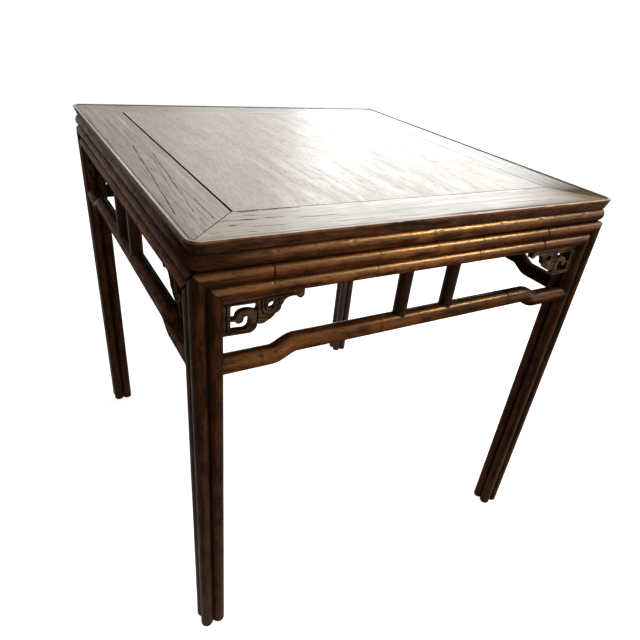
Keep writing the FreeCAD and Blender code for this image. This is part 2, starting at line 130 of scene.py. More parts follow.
def sockets(tree, inputs, outputs):
    """Gives a group its inputs and outputs by name and kind, and returns the inputs."""
    for way, rows in (("INPUT", inputs), ("OUTPUT", outputs)):
        for name, kind in rows.items():
            tree.interface.new_socket(name, in_out=way, socket_type="NodeSocket" + kind)
    return tree.nodes.new("NodeGroupInput").outputs


def ranged(tree, value, low, high, to_low=0.0, to_high=1.0):
    """Stretches a value from one range to another with soft ends."""
    made = place(tree, "ShaderNodeMapRange", {0: value, 1: low, 2: high, 3: to_low, 4: to_high},
                 interpolation_type="SMOOTHSTEP")
    return made.outputs[0]


def blend(tree, share, first, second, mode="MIX"):
    """Mixes two colours."""
    made = place(tree, "ShaderNodeMix", {0: share, 6: first, 7: second}, data_type="RGBA",
                 blend_type=mode)
    return made.outputs[2]


def cloud(tree, vector, scale, detail):
    """Noise that is stretched along the three directions by a scale each."""
    stretched = place(tree, "ShaderNodeVectorMath", {0: vector, 1: scale}, operation="MULTIPLY")
    return place(tree, "ShaderNodeTexNoise", {0: stretched.outputs[0], "Scale": 1.0,
                                              "Detail": detail, "Roughness": 0.6}).outputs[0]


print("helpers ready")

# %% [markdown]
# ## Aged wood
# In many sticks the crown also carries painted light and shade: lower in grooves, on faces that look down and
# in shaded places, higher on faces towards the lamps.
# All the wood is one kind: a dense brown timber under dark lacquer that has been rubbed away
# for a hundred years. The lacquer stays black in the grooves, turns warm brown on open
# surfaces and wears through to pale wood on the crests. One shader group does that for every
# stick. It reads two attributes that each mesh carries: "grain", the place of a point in its
# own log with the fibres along the first direction, and "crown", how exposed the point is.
# Streaks, patches, pores and dark flecks are noise that is stretched along the fibres.

# %% The aged wood group
def aged_wood_group():
    """Colour, roughness, height and polish of rubbed lacquer over wood."""
    tree = bpy.data.node_groups.new("aged_wood", "ShaderNodeTree")
    plus, minus, times = arithmetic(tree)
    given = sockets(tree, {"Grain": "Vector", "Crown": "Float", "Dark": "Color", "Warm": "Color",
                           "Worn": "Color", "Wear": "Float", "Matt": "Float", "Fleck": "Float",
                           "Red": "Float"},
                    {"Colour": "Color", "Roughness": "Float", "Height": "Float", "Polish": "Float"})
    streak = cloud(tree, given["Grain"], (5.0, 75.0, 75.0), 6.0)
    pores = cloud(tree, given["Grain"], (45.0, 900.0, 900.0), 2.0)
    patch = cloud(tree, given["Grain"], (10.0, 26.0, 26.0), 3.0)
    tone = ranged(tree, plus(times(streak, 0.6), times(patch, 0.4)), 0.36, 0.66)
    openness = ranged(tree, given["Crown"], -0.1, 0.5)
    red = blend(tree, 1.0, given["Warm"], (1.05, 0.74, 0.62, 1), "MULTIPLY")
    fresh = ranged(tree, cloud(tree, given["Grain"], (14.0, 40.0, 40.0), 2.0), 0.46, 0.60)
    warm = blend(tree, times(fresh, given["Red"]), given["Warm"], red)
    body = blend(tree, times(tone, openness), given["Dark"], warm)
    drift = plus(times(minus(patch, 0.5), 1.3), times(minus(streak, 0.5), 0.9))
    # Where the worn colour shows; the crown that it reads carries painted light in many sticks.
    rubbed_and_lit = times(ranged(tree, plus(given["Crown"], drift), 0.72, 1.12), given["Wear"])
    pitted = ranged(tree, pores, 0.30, 0.44, 0.5, 1.0)
    dashes = ranged(tree, cloud(tree, given["Grain"], (24.0, 270.0, 270.0), 3.0), 0.34, 0.46)
    dashes = minus(1.0, times(given["Fleck"], minus(1.0, dashes)))
    shaded = times(pitted, dashes)
    shade = place(tree, "ShaderNodeCombineColor", {0: shaded, 1: shaded, 2: shaded}).outputs[0]
    colour = blend(tree, 1.0, blend(tree, rubbed_and_lit, body, given["Worn"]), shade, "MULTIPLY")
    rough = plus(minus(given["Matt"], times(tone, 0.10)), times(minus(1.0, pitted), 0.3))
    height = plus(times(pitted, 0.5), times(streak, 0.5))
    polish = times(ranged(tree, pores, 0.30, 0.44), times(dashes, openness))
    out = tree.nodes.new("NodeGroupOutput").inputs
    for name, value in (("Colour", colour), ("Roughness", rough), ("Height", height), ("Polish", polish)):
        tree.links.new(value, out[name])
    return tree


AGED_WOOD = aged_wood_group()
print("group", AGED_WOOD.name, "with", len(AGED_WOOD.nodes), "nodes")

# %% [markdown]
# ## Checks in the top
# Planks that have dried for a century open in long checks along the fibres, a little askew to
# the edge where the tree was not straight. Each check can be seen in the photograph, so each
# one is drawn by itself: a thin line with a start, an end, a place and a slope.

# %% The drying check group
CHECK_NUMBERS = ("From", "To", "Offset", "Slope", "Width")
CHECK_TAPER, CHECK_WANDER = 12 * MM, 8 * MM


def check_group():
    """A mask that is one inside a single drying check."""
    tree = bpy.data.node_groups.new("drying_check", "ShaderNodeTree")
    plus, minus, times = arithmetic(tree)
    given = sockets(tree, {"Grain": "Vector", **dict.fromkeys(CHECK_NUMBERS, "Float")}, {"Mask": "Float"})
    along, across = place(tree, "ShaderNodeSeparateXYZ", {0: given["Grain"]}).outputs[:2]
    wander = minus(cloud(tree, given["Grain"], (14.0, 8.0, 8.0), 3.0), 0.5)
    line = plus(times(minus(along, given["From"]), given["Slope"]), given["Offset"])
    line = plus(line, times(wander, CHECK_WANDER))
    far = sums(tree, "ABSOLUTE", minus(across, line))
    thin = cloud(tree, given["Grain"], (60.0, 30.0, 30.0), 2.0)
    wide = times(given["Width"], ranged(tree, thin, 0.3, 0.65, 0.35, 1.1))
    mask = ranged(tree, far, times(wide, 0.35), wide, 1.0, 0.0)
    start = ranged(tree, along, given["From"], plus(given["From"], CHECK_TAPER))
    stop = ranged(tree, along, minus(given["To"], CHECK_TAPER), given["To"], 1.0, 0.0)
    mask = times(mask, times(start, stop))
    tree.links.new(mask, tree.nodes.new("NodeGroupOutput").inputs["Mask"])
    return tree


CHECK = check_group()
print("group", CHECK.name, "with", len(CHECK.nodes), "nodes")

# %% [markdown]
# ## One material for each group of sticks
# The finish differs from place to place: the legs are almost black, the reeds catch warm
# light, and the top has been scrubbed until it is grey and matt. Each material places the
# same group with its own colours. Grooves, pores and undersides shine least, so the specular
# level follows the polish and the way that the surface faces. Its tint is the same all over
# a piece and is set on the shader itself.

# %% Materials
GRAIN_SHIFT = Vector((3.7, 1.3, 2.1))
GOLD, PLAIN = (1.0, 0.60, 0.24), (0.97, 0.99, 1.0)
# The first colour is painted shade for the side walls of the panel boards, the second is the black of the
# checks.
SIDE_SHADE, CHECK_BLACK = (0.02, 0.013, 0.009), (0.020, 0.013, 0.009, 1)
# How the figure of the wood is drawn out along and across the fibres.
EVEN, FINE, SHORT, BOARD = (1.0, 1.0, 1.0), (0.4, 1.5, 1.5), (2.2, 1.6, 1.6), (0.9, 1.3, 1.3)
PORE_DEPTH = 0.6 * MM


def wood(name, dark, warm, worn, matt, specular, dull=0.0, wear=0.8, fleck=0.6, relief=0.35, tint=GOLD,
         red=1.0, drawn=SHORT, turned=None, crown=None, wall_shade=None, checks=(), seed=0):
    """Lacquered wood. Solids without attributes give a turn for the fibres and a plain crown."""
    made = bpy.data.materials.new(name)
    made.use_nodes = True
    tree = made.node_tree
    minus, times = arithmetic(tree)[1:]
    shader = tree.nodes["Principled BSDF"]
    if turned is None:
        grain = place(tree, "ShaderNodeAttribute", attribute_name="grain").outputs["Vector"]
        exposed = place(tree, "ShaderNodeAttribute", attribute_name="crown").outputs["Fac"]
    else:
        spot = tree.nodes.new("ShaderNodeTexCoord").outputs["Object"]
        grain = place(tree, "ShaderNodeMapping", {"Vector": spot, "Rotation": turned}).outputs[0]
        exposed = crown
    fibres = place(tree, "ShaderNodeVectorMath", {0: grain, 1: drawn}, operation="MULTIPLY").outputs[0]
    group = place(tree, "ShaderNodeGroup", node_tree=AGED_WOOD)
    for key, value in (("Grain", fibres), ("Crown", exposed), ("Dark", (*dark, 1)), ("Warm", (*warm, 1)),
                       ("Worn", (*worn, 1)), ("Wear", wear), ("Matt", matt), ("Fleck", fleck), ("Red", red)):
        feed(tree, group.inputs[key], value)
    colour, height = group.outputs["Colour"], group.outputs["Height"]
    normal = tree.nodes.new("ShaderNodeNewGeometry").outputs["Normal"]
    upward = place(tree, "ShaderNodeSeparateXYZ", {0: normal}).outputs[2]
    gloss = times(group.outputs["Polish"], ranged(tree, upward, 0.0, 0.5, dull, specular))
    # Faces that do not look up take a painted shade colour, where that is given.
    if wall_shade:
        colour = blend(tree, ranged(tree, upward, 0.2, 0.7, 1.0, 0.0), colour, (*wall_shade, 1))
    for check in checks:
        local = place(tree, "ShaderNodeVectorMath", {0: grain, 1: GRAIN_SHIFT * seed}, operation="SUBTRACT")
        line = place(tree, "ShaderNodeGroup", {"Grain": local.outputs[0]}, node_tree=CHECK)
        for key, value in zip(CHECK_NUMBERS, check):
            feed(tree, line.inputs[key], value)
        colour = blend(tree, line.outputs[0], colour, CHECK_BLACK)
        height = minus(height, line.outputs[0])
        gloss = times(gloss, minus(1.0, line.outputs[0]))
    bump = place(tree, "ShaderNodeBump", {"Strength": relief, "Distance": PORE_DEPTH, "Height": height})
    for key, value in (("Base Color", colour), ("Roughness", group.outputs["Roughness"]),
                       ("Normal", bump.outputs[0]), ("Specular IOR Level", gloss)):
        feed(tree, shader.inputs[key], value)
    shader.inputs["Specular Tint"].default_value = (*tint, 1)
    return made


print("one wood for every finish, with", len(CHECK_NUMBERS), "numbers for a check")

# %% [markdown]
# ## The finishes
# The checks come first, each with its start, its end and its distance from the outer edge.
# Then come the woods. A finish has three colours: lacquer in the grooves, lacquer on open
# surfaces and worn wood. The photograph has lines of light on the front only, and on its left
# side a glossy wood would mirror the white room as a grey veil. So the front has glossy
# mouldings, reeds, stretcher and spandrels, and the other sides have dull ones.

# %% Checks and woods
def crack(half, start, start_inset, end, end_inset, width=1.2):
    """A check between two places on a member, in millimetres along it and in from its edge."""
    slope = (end_inset - start_inset) / (end - start)
    return (start * MM, end * MM, start_inset * MM - half, slope, width * MM)


LEFT_CHECKS = [crack(WIDTH / 2, *places) for places in (
    (-56, 49, 338, 15.5), (0, 70, 334, 44), (262, 63, 365, 61.5), (345, 43, 386, 42),
    (30, 39, 75, 33, 0.6), (120, 52, 260, 40, 0.45), (60, 58, 190, 47, 0.45), (-131, 35, -126, 35, 2.0),
    (135, 13, 140, 13, 1.8), (362, 12, 376, 20, 1.3), (382, 21, 404, 24, 1.1))]
FRONT_CHECKS = [crack(DEPTH / 2, *places) for places in (
    (-364, 68, -300, 63, 2.4), (-362, 49, -335, 48, 2.2), (-325, 84, -292, 79, 1.8),
    (-300, 66, -255, 64, 1.4), (-393, 23, -367, 33, 2.0), (-340, 22, -318, 21, 2.2),
    (-330, 38, -262, 36, 1.2), (-250, 57, -170, 55, 1.2), (-215, 30, -120, 29, 1.0),
    (-328, 97.0, -215, 97.0, 2.8))]
RIGHT_CHECKS = [crack(WIDTH / 2, -330, 88.0, 345, 88.0, 1.6)]
QUARTER = radians(90)
SCRUBBED = dict(worn=(0.62, 0.55, 0.48), matt=0.44, specular=0.5, dull=0.5, wear=0.9, fleck=0.45,
                relief=0.15, tint=PLAIN, red=0.1, drawn=FINE)
# On the left member the worn bead is painted almost white, as a painted highlight.
HIGHLIT_BEAD = {**SCRUBBED, "worn": (0.92, 0.84, 0.72)}
GREY = ((0.255, 0.212, 0.172), (0.345, 0.288, 0.236))
PALE = ((0.29, 0.243, 0.20), (0.39, 0.329, 0.272))
STAINED = ((0.125, 0.098, 0.066), (0.19, 0.15, 0.105))
TOP_WOODS = {"front": wood("top_wood_front", *PALE, **SCRUBBED, checks=FRONT_CHECKS, seed=1),
             "right": wood("top_wood_right", *STAINED, **SCRUBBED, checks=RIGHT_CHECKS, seed=2),
             "back": wood("top_wood", *GREY, **SCRUBBED),
             "left": wood("top_wood_left", *GREY, **HIGHLIT_BEAD, checks=LEFT_CHECKS, seed=4)}
panel_wood = wood("panel_wood", (0.370, 0.312, 0.262), (0.395, 0.336, 0.284), (0.42, 0.36, 0.31), matt=0.47,
                  specular=0.5, wear=0.5, fleck=0.18, relief=0.08, tint=PLAIN, red=0.1, drawn=BOARD,
                  turned=(0, 0, -QUARTER), crown=0.5, wall_shade=SIDE_SHADE)
edge_wood = wood("edge_wood", (0.014, 0.007, 0.0045), (0.098, 0.044, 0.023), (0.13, 0.064, 0.035),
                 matt=0.55, specular=0.05, dull=0.02)
MOULDING = ((0.022, 0.009, 0.0045), (0.100, 0.039, 0.015), (0.130, 0.054, 0.019))
moulding_wood = wood("moulding_wood", *MOULDING, matt=0.34, specular=1.0)
moulding_dull = wood("moulding_dull", *MOULDING, matt=0.34, specular=0.015)
REEDED = ((0.020, 0.008, 0.004), (0.092, 0.033, 0.012), (0.128, 0.049, 0.017))
apron_wood = wood("apron_wood", *REEDED, matt=0.34, specular=1.0)
apron_dull = wood("apron_dull", *REEDED, matt=0.34, specular=0.015)
LOBED = ((0.007, 0.003, 0.0017), (0.020, 0.0076, 0.0036), (0.034, 0.0133, 0.006))
leg_wood = wood("leg_wood", *LOBED, matt=0.46, specular=0.02, dull=0.02, fleck=0.4)
leg_glossy = wood("leg_glossy", *LOBED, matt=0.46, specular=0.12, dull=0.12, fleck=0.4, tint=PLAIN)
HUMPED = ((0.010, 0.004, 0.002), (0.070, 0.026, 0.010), (0.095, 0.037, 0.013))
stretcher_wood = wood("stretcher_wood", *HUMPED, matt=0.30, specular=0.32)
stretcher_dull = wood("stretcher_dull", *HUMPED, matt=0.30, specular=0.008)
# The struts are painted darker than the stretchers, as painted shade.
shaded_strut_wood = wood("shaded_strut_wood", (0.004, 0.0017, 0.001), (0.016, 0.0064, 0.0032), (0.028, 0.0115, 0.005),
                  matt=0.46, specular=0.05, dull=0.05, fleck=0.5)
FRETTED = ((0.003, 0.0015, 0.001), (0.030, 0.015, 0.009), (0.060, 0.033, 0.020))
spandrel_wood = wood("spandrel_wood", *FRETTED, matt=0.46, specular=0.25, dull=0.10, fleck=0.4)
spandrel_dull = wood("spandrel_dull", *FRETTED, matt=0.46, specular=0.0, fleck=0.4)
batten_wood = wood("batten_wood", (0.05, 0.03, 0.018), (0.11, 0.07, 0.045), (0.16, 0.11, 0.07), matt=0.70,
                   specular=0.3, dull=0.3, wear=0.4, fleck=0.3, tint=PLAIN, drawn=EVEN,
                   turned=(0, 0, 0), crown=0.4)
peg_bamboo = wood("peg_bamboo", (0.16, 0.10, 0.05), (0.28, 0.19, 0.10), (0.36, 0.26, 0.15), matt=0.60,
                  specular=0.4, dull=0.4, wear=0.4, fleck=0.2, tint=PLAIN, drawn=EVEN,
                  turned=(0, QUARTER, 0), crown=0.5)
print("materials:", len(bpy.data.materials))

# %% [markdown]
# ## From rings to a mesh
# Nearly every stick of this table is a profile that was planed along a board. So the meshes
# are lofts: rings of the same number of points, joined by quads and closed at both ends.
# Doubles are merged and the normals turned outwards before anything else happens to a mesh.
# Wear is made by pushing points in along their normals, so a piece never leaves its box.

# %% Loft, attributes and wear
# Order of the axes in the grain, along the fibres first, for a level and an upright stick.
ALONG_X, ALONG_Z = (0, 1, 2), (2, 0, 1)
# Depth and spread of the rubbed hollows, and the first seed, for each kind of stick.
WEAR = {"frame": (0.35 * MM, 45 * MM, 1), "moulding": (0.5 * MM, 60 * MM, 11),
        "apron": (0.4 * MM, 55 * MM, 21), "leg": (0.3 * MM, 60 * MM, 31),
        "stretcher": (0.3 * MM, 45 * MM, 41), "strut": (0.3 * MM, 30 * MM, 60)}


def loft(rings):
    """Closed mesh through rings of points."""
    count = len(rings[0])
    faces = []
    for ring in range(len(rings) - 1):
        for corner in range(count):
            after = (corner + 1) % count
            faces.append((ring * count + corner, ring * count + after,
                          (ring + 1) * count + after, (ring + 1) * count + corner))
    last = (len(rings) - 1) * count
    faces += [tuple(range(count)), tuple(range(last, last + count))]
    mesh = bpy.data.meshes.new("loft")
    mesh.from_pydata([point for ring in rings for point in ring], [], faces)
    return clean(mesh)


def clean(mesh):
    """Merges doubles, turns the faces outwards and shades round parts smooth."""
    shell = bmesh.new()
    shell.from_mesh(mesh)
    bmesh.ops.remove_doubles(shell, verts=shell.verts, dist=0.01 * MM)
    bmesh.ops.recalc_face_normals(shell, faces=shell.faces)
    shell.to_mesh(mesh)
    shell.free()
    mesh.shade_smooth()
    mesh.set_sharp_from_angle(angle=radians(38))
    return mesh


def describe(mesh, seed, fibres, exposure):
    """Stores grain and crown on every point. Fibres gives the order of axes, along first."""
    shift = GRAIN_SHIFT * seed
    mesh.attributes.new("grain", "FLOAT_VECTOR", "POINT")
    mesh.attributes.new("crown", "FLOAT", "POINT")
    grain, crown = mesh.attributes["grain"].data, mesh.attributes["crown"].data
    for index, point in enumerate(mesh.vertices):
        grain[index].vector = Vector([point.co[axis] for axis in fibres]) + shift
        crown[index].value = exposure(point.co, point.normal)


def rubbed_and_lit(normal):
    """Most on what faces forward and up: wear where hands and cloths reach, and painted light that is
    brighter towards the lamps and darker underneath.
    """
    return 0.25 + 0.75 * (0.3 * normal.z - 0.95 * normal.y)


def clip(value, high=1.0):
    """Keeps a value between 0 and an upper end."""
    return max(0.0, min(high, value))


def push_in(mesh, depth):
    """Moves every point in along its normal, by a depth that depends on its place."""
    inward = [point.normal.copy() for point in mesh.vertices]
    for point, normal in zip(mesh.vertices, inward):
        point.co -= normal * depth(point.co)


def wear_down(mesh, depth, size, seed):
    """Rubs the surface in by a shallow uneven amount."""
    shift = Vector((5.1, 2.3, 7.7)) * seed
    push_in(mesh, lambda spot: depth * (0.5 + 0.5 * noise.noise(spot / size + shift)))


def age(mesh, kind, number, fibres, exposure, carving=None):
    """Stores the attributes of a stick, carves it where that is asked for and rubs it down."""
    depth, size, seed = WEAR[kind]
    describe(mesh, seed + number, fibres, exposure)
    if carving:
        push_in(mesh, carving)
    wear_down(mesh, depth, size, seed + number)


def settle(name, mesh, material, slot, *nodes):
    """Puts a finished mesh in the scene in the place of its solids."""
    if not mesh.materials:
        mesh.materials.append(material)
    mesh.name = name
    piece = bpy.data.objects.new(name, mesh)
    bpy.context.scene.collection.objects.link(piece)
    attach(piece, "root")
    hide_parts(*nodes)
    print(name, len(mesh.polygons), "faces")


def turn(mesh, degrees):
    """Carries a front piece round to its own side."""
    mesh.transform(Matrix.Rotation(radians(degrees), 4, "Z"))
    return mesh


print("mesh helpers ready")

# %% [markdown]
# ## Edge profiles that follow the rounded corners
# The frame and the moulding share one plan: a rectangle with rounded corners, mitred at the
# corners. A line of the profile that lies nearer to the middle follows a smaller arc. This
# helper gives the run of one such line, from its left mitre to its right one.

# %% Runs from mitre to mitre
CORNER_STEPS = 10
RUN_STEPS = 210


def corner_run(inset, lean, gap):
    """(along, inset) from the mitre to the start of the straight run, from the sharp corner."""
    radius = CORNER - inset
    spots = []
    for step in range(CORNER_STEPS + 1):
        share = step / CORNER_STEPS
        if radius > 0.5 * MM:
            slip = CORNER * (1 - lean) / (radius * hypot(1, lean))
            start = atan2(1, lean) - asin(max(-1.0, min(1.0, slip)))
            angle = start + (pi / 2 - start) * share
            along, across = CORNER - radius * cos(angle), CORNER - radius * sin(angle)
        else:
            along, across = lean * inset + 2 * MM * share, inset
        spots.append((along + gap * (1 - share), across))
    return spots


def side_run(inset, length, lean_left, lean_right, gap_left, gap_right):
    """The whole run of one line of the profile along a side."""
    left = corner_run(inset, lean_left, gap_left)
    right = corner_run(inset, lean_right, gap_right)
    start, end = left[-1][0] - length / 2, length / 2 - right[-1][0]
    middle = [(start + (end - start) * step / RUN_STEPS, inset) for step in range(1, RUN_STEPS)]
    return ([(along - length / 2, across) for along, across in left] + middle
            + [(length / 2 - along, across) for along, across in reversed(right)])


def profile_loft(section, length, half, leans, gaps):
    """Loft of a closed section of (inset, height) points along a side."""
    runs = []
    for inset, height in section:
        share = 0.3 + 0.7 * min(1.0, inset / (60 * MM))
        runs.append(side_run(inset, length, *leans, gaps[0] * share, gaps[1] * share))
    rings = []
    for spots in zip(*runs):
        rings.append([(along, across - half, height)
                      for (along, across), (inset, height) in zip(spots, section)])
    return loft(rings)


print("points along a side:", len(side_run(0, WIDTH, 1, 1, 0, 0)))

# %% [markdown]
# ## The top frame
# Four boards are mitred round the panel. Along the outer edge stands a thin raised bead that
# keeps a spilled cup from running off, and below it the edge slopes in to the moulding. The
# bead is rubbed pale, and a painted highlight makes it paler still towards the front right
# corner and along the left side. The scrubbed top is grey, and the sloped edge has kept its
# black. Behind the bead along the right half of the front, dirt and painted shade darken the
# top, and painted shade darkens the right corner.
# These places come from tests on a point's position, kept in its crown.

# %% Frame members
MEMBER_WIDTHS = {"front": 100 * MM, "right": 90 * MM, "back": 90 * MM, "left": 95 * MM}
RIM = 2.5 * MM
BEAD = 6.5 * MM
EDGE_RECESS = 6.0 * MM
TONGUE_DEEP = 7.15 * MM
TONGUE_LOW, TONGUE_HIGH = 842.85 * MM, 847.15 * MM


def frame_section(width):
    """Outline of a member from the panel across the top, over the bead and back underneath."""
    eased = 0.5 * MM
    points = [(width, FRAME_TOP - eased), (width - eased, FRAME_TOP)]
    flat = width - eased - BEAD - 1.5 * MM
    points += [(width - eased - flat * step / 14, FRAME_TOP) for step in range(1, 15)]
    points += [(BEAD + 0.6 * MM, FRAME_TOP - 0.5 * MM), (BEAD, FRAME_TOP - 0.3 * MM)]
    rise = HEIGHT - FRAME_TOP
    for step in range(1, 5):
        angle = pi / 2 * step / 4
        points.append((BEAD - 2 * MM * (1 - cos(angle)), FRAME_TOP + rise * sin(angle)))
    for step in range(7):
        angle = pi / 2 * step / 6
        points.append((RIM - RIM * sin(angle), HEIGHT - RIM + RIM * cos(angle)))
    slope = HEIGHT - RIM - FRAME_FOOT
    points += [(EDGE_RECESS * step / 6, HEIGHT - RIM - slope * step / 6) for step in range(1, 7)]
    points += [(width, FRAME_FOOT), (width, TONGUE_LOW), (width - TONGUE_DEEP, TONGUE_LOW),
               (width - TONGUE_DEEP, TONGUE_HIGH), (width, TONGUE_HIGH)]
    return points


def near_corner(along, length, side, reach):
    """1 at the corner that points to the viewer, falling to 0 away from it; the wood is made darker there."""
    away = length / 2 + along if side == "front" else length / 2 - along
    return exp(-(away / reach) ** 2) if side in ("front", "left") else 0.0


# How far the darkening reaches from the near corner, where the painted highlight on the bead
# starts, where painted shade begins in the right corner and where dirt and painted shade begin
# behind the front bead, with their runs.
EDGE_BLACK, BRIGHT_FROM = 35 * MM, 60 * MM
CORNER_SHADE_FROM, CORNER_SHADE_RUN = 290 * MM, 90 * MM
DIRT_SHADE_FROM, DIRT_SHADE_RUN, DIRT_SHADE_WIDE = -80 * MM, 120 * MM, 9 * MM


def frame_exposure(half, side, length):
    """Black below the rim, grey on the flat and pale on the bead, with painted shade in one corner and dirt
    with painted shade behind the front bead.
    """
    towards = {"front": 1, "right": -1}.get(side, 0)

    def crown(spot, normal):
        inset, forward = spot.y + half, towards * spot.x
        if spot.z < HEIGHT - RIM - 1 * MM:
            return 0.25 - 0.35 * near_corner(spot.x, length, side, EDGE_BLACK)
        # Wear makes the bead pale, and a painted highlight makes it paler still towards the front right
        # corner.
        bright = forward > BRIGHT_FROM
        if inset < (4 * MM if bright or side == "left" else 2 * MM):
            return 1.3 if bright else 1.1
        if spot.z > FRAME_TOP + 0.5 * MM:
            return 0.6
        # The groove at the foot of the bead is darkest, from dirt and painted shade.
        if BEAD - 0.4 * MM < inset < BEAD + 1 * MM and spot.z < FRAME_TOP:
            return -0.1
        # Painted shade in the right corner, and dirt with painted shade behind the front bead.
        corner_shade = clip((forward - CORNER_SHADE_FROM) / CORNER_SHADE_RUN)
        dirt_and_shade = clip(1.7 - (inset - BEAD) / DIRT_SHADE_WIDE) if side == "front" else 0.0
        return 0.55 - 0.75 * max(corner_shade, dirt_and_shade * clip((spot.x - DIRT_SHADE_FROM) / DIRT_SHADE_RUN))
    return crown


MITRE_GAP, OPEN_MITRE = 0.15 * MM, 0.7 * MM
for index, (side, length, half, degrees) in enumerate(SIDES):
    width = MEMBER_WIDTHS[side]
    left, right = SIDES[index - 1][0], SIDES[(index + 1) % 4][0]
    leans = (MEMBER_WIDTHS[left] / width, MEMBER_WIDTHS[right] / width)
    gaps = [OPEN_MITRE if {side, other} == {"front", "left"} else MITRE_GAP for other in (left, right)]
    mesh = profile_loft(frame_section(width), length, half, leans, gaps)
    age(mesh, "frame", index, ALONG_X, frame_exposure(half, side, length))
    for wood_face in (TOP_WOODS[side], edge_wood):
        mesh.materials.append(wood_face)
    for face in mesh.polygons:
        rim = face.center.z < HEIGHT - RIM / 4 and face.normal.y < -0.3
        face.material_index = int(rim or face.normal.z < 0.3)
    settle("frame_member_" + side, turn(mesh, degrees), edge_wood, "frame_wood", "frame_" + side)

# %% [markdown]
# ## The half-round moulding
# A second strip under the frame doubles the edge and makes the top look heavier. It is a
# plain half round, mitred at the corners. Knocks from chairs have left small chips in it,
# so points near a chip are pushed in. It is made dark at the corner nearest to the viewer,
# painted shade darkens the right end of the front, and in between it is rubbed, with painted
# light on what faces the lamps.

# %% Mouldings
NOSE = (FRAME_FOOT - MOULDING_FOOT) / 2
MOULDING_INSET = 1.0 * MM
APRON_BACK = FACE + APRON_THICK


def moulding_section():
    """Half round in front of a square back."""
    middle = MOULDING_FOOT + NOSE
    points = []
    for step in range(25):
        angle = pi * step / 24
        points.append((MOULDING_INSET + NOSE - NOSE * sin(angle), middle + NOSE * cos(angle)))
    return points + [(APRON_BACK, MOULDING_FOOT), (APRON_BACK, FRAME_FOOT)]


CHIP_DEEP = 1.1 * MM
# Start, run and most of the painted shade towards the right end of the front.
END_FROM, END_RUN, END_MOST = -60 * MM, 160 * MM, 1.9
MOULDING_BLACK, TIP_BLACK = 230 * MM, 40 * MM


def chip(mesh, spot, reach):
    """Pushes in the points within reach of a spot, most in the middle."""
    middle = Vector(spot)

    def dent(point):
        near = clip(1 - ((point - middle).length / reach) ** 2)
        return CHIP_DEEP * near * (1 + 0.5 * noise.noise(point * 300))
    push_in(mesh, dent)


def right_end_shade(along, side):
    """Rises towards the right end of the front, where it darkens the wood and takes gloss away as painted
    shade.
    """
    return clip((along - END_FROM) / END_RUN, END_MOST) if side == "front" else 0.0


# Places along a side and reach of each chip, in millimetres.
CHIPS = {"front": ((-177, 4), (-24, 7), (-10, 5), (133, 7), (230, 5), (-300, 4), (352, 5)),
         "right": ((-180, 6), (70, 5), (310, 6)), "back": ((-250, 6), (40, 5), (200, 5)),
         "left": ((-330, 6), (-60, 5), (150, 6))}
for index, (side, length, half, degrees) in enumerate(SIDES):
    mesh = profile_loft(moulding_section(), length, half, (1, 1), (MITRE_GAP, MITRE_GAP))
    # Crown: wear and painted light from the facing, made dark near the viewer's corner, and painted shade
    # towards the right end of the front.
    age(mesh, "moulding", index, ALONG_X, lambda spot, normal: rubbed_and_lit(normal)
        - 0.95 * near_corner(spot.x, length, side, MOULDING_BLACK)
        - 0.6 * near_corner(spot.x, length, side, TIP_BLACK) - 0.35 * right_end_shade(spot.x, side))
    for along, reach in CHIPS[side]:
        chip(mesh, (along * MM, MOULDING_INSET + 2 * MM - half, MOULDING_FOOT + 1.5 * NOSE), reach * MM)
    finish = moulding_wood if side == "front" else moulding_dull
    settle("moulding_strip_" + side, turn(mesh, degrees), finish, "moulding_wood", "moulding_" + side)

# %% [markdown]
# ## The reeded aprons
# Each apron is planed to two round reeds with a sharp groove between them, and its ends are
# cut to the mitre that it shares with the legs. The reeds copy bamboo: here and there a joint
# of the cane is carved as a shallow ring. The ring is real geometry, with extra points there.
# A short piece of the upper front reed was once replaced, which shows as fresher wood.

# %% Aprons
JOINT_DEEP, JOINT_WIDE = 0.35 * MM, 1.8 * MM
MITRE_RUN = 30 * MM
UPPER_BLACK, LOWER_BLACK = 210 * MM, 100 * MM
PATCH_LEFT, PATCH_RIGHT, SEAM = -7 * MM, 26 * MM, 4 * MM


def reed_arc(centre, first, last, steps):
    """Points round the front of one reed, by angle above the level."""
    angles = [first + (last - first) * step / steps for step in range(steps + 1)]
    return [(FACE + REED - REED * cos(angle), centre + REED * sin(angle)) for angle in angles]


def apron_section():
    """Two reeds in front of a flat back."""
    upper = reed_arc(MOULDING_FOOT - REED, pi / 2, -DIP, 20)
    lower = reed_arc(APRON_FOOT + REED, DIP, -pi / 2, 20)
    return [(APRON_BACK, MOULDING_FOOT)] + upper + lower + [(APRON_BACK, APRON_FOOT)]


def joint_dip(along, joints):
    """How deep in a carved cane joint a place lies, from 0 to 1."""
    return sum(exp(-((along - joint * MM) / JOINT_WIDE) ** 2) for joint in joints)


def stations(start, end, count, joints):
    """Even places along a stick, with more of them at each carved joint."""
    places = [start + (end - start) * step / count for step in range(count + 1)]
    for joint in joints:
        places += [(joint + offset) * MM for offset in (-4.5, -3, -1.8, -0.7, 0.7, 1.8, 3, 4.5)]
    return sorted(spot for spot in places if start <= spot <= end)


def apron_mesh(length, half, joints):
    """Reeded bar between its two mitres."""
    section = apron_section()
    limits = [length / 2 - FACE - PLAY - max(MOULDING_FOOT - height, inset - FACE)
              for inset, height in section]
    reach = min(limits)
    rings = []
    for spot in stations(-reach, reach, 200, joints):
        mitred = abs(spot) > reach - MITRE_RUN
        rings.append([(spot / reach * limit if mitred else spot, inset - half, height)
                      for limit, (inset, height) in zip(limits, section)])
    return loft(rings)


